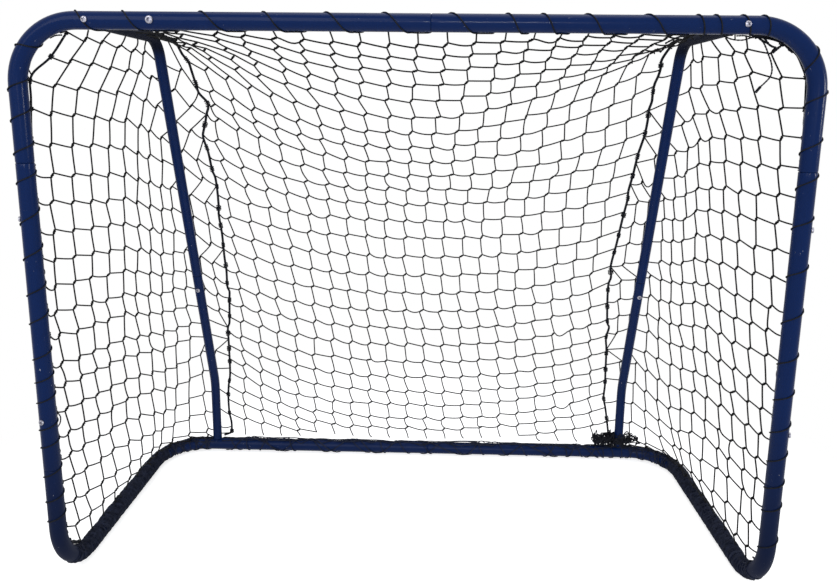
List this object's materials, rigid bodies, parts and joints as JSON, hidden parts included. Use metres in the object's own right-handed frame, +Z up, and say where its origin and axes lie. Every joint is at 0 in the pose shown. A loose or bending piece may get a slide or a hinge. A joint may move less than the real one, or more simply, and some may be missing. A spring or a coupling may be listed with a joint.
{
  "type": "hockey goal",
  "caption": "Knock-down play goal: a bent steel tube frame with slanted rear struts and a laced square-mesh net open at the front.",
  "frame": {"origin": "floor level, under the middle of the goal's footprint", "axes": "+X to the right seen from the front, +Y to the rear where the net is, +Z up"},
  "size_m": [1.157, 0.5075, 0.9026],
  "materials": {
    "frame_paint": "semi-gloss dark royal blue powder coat on steel tube",
    "fastener_zinc": "zinc-plated screws and bolt",
    "plug_plastic": "black moulded plastic plug inside the strut's arm",
    "netting": "matt black twisted polyethylene twine, knotted square mesh",
    "lacing_cord": "matt black twisted cord"
  },
  "bodies": {
    "root": {"crossbar_left": "frame_paint", "crossbar_right": "frame_paint", "post_left": "frame_paint", "post_right": "frame_paint", "base_front_left": "frame_paint", "base_front_right": "frame_paint", "base_rear_left": "frame_paint", "base_rear_right": "frame_paint", "strut_upper_left": "frame_paint", "strut_upper_right": "frame_paint", "strut_lower_left": "frame_paint", "strut_lower_right": "frame_paint", "strut_plug_left": "plug_plastic", "strut_plug_right": "plug_plastic", "strut_screw_left": "fastener_zinc", "strut_screw_right": "fastener_zinc", "strut_joint_screw_left": "fastener_zinc", "strut_joint_screw_right": "fastener_zinc", "post_screw_upper_left": "fastener_zinc", "post_screw_upper_right": "fastener_zinc", "post_screw_lower_left": "fastener_zinc", "post_screw_lower_right": "fastener_zinc", "crossbar_bolt": "fastener_zinc", "crossbar_nut": "fastener_zinc", "net_left": "netting", "net_right": "netting", "net_roof": "netting", "net_rear": "netting", "corner_rope_left": "lacing_cord", "corner_rope_right": "lacing_cord", "lacing_crossbar": "lacing_cord", "lacing_post_left": "lacing_cord", "lacing_post_right": "lacing_cord", "lacing_rail_left": "lacing_cord", "lacing_rail_right": "lacing_cord", "lacing_rear_bar": "lacing_cord", "spare_cord_coil": "lacing_cord"}
  },
  "joints": []
}
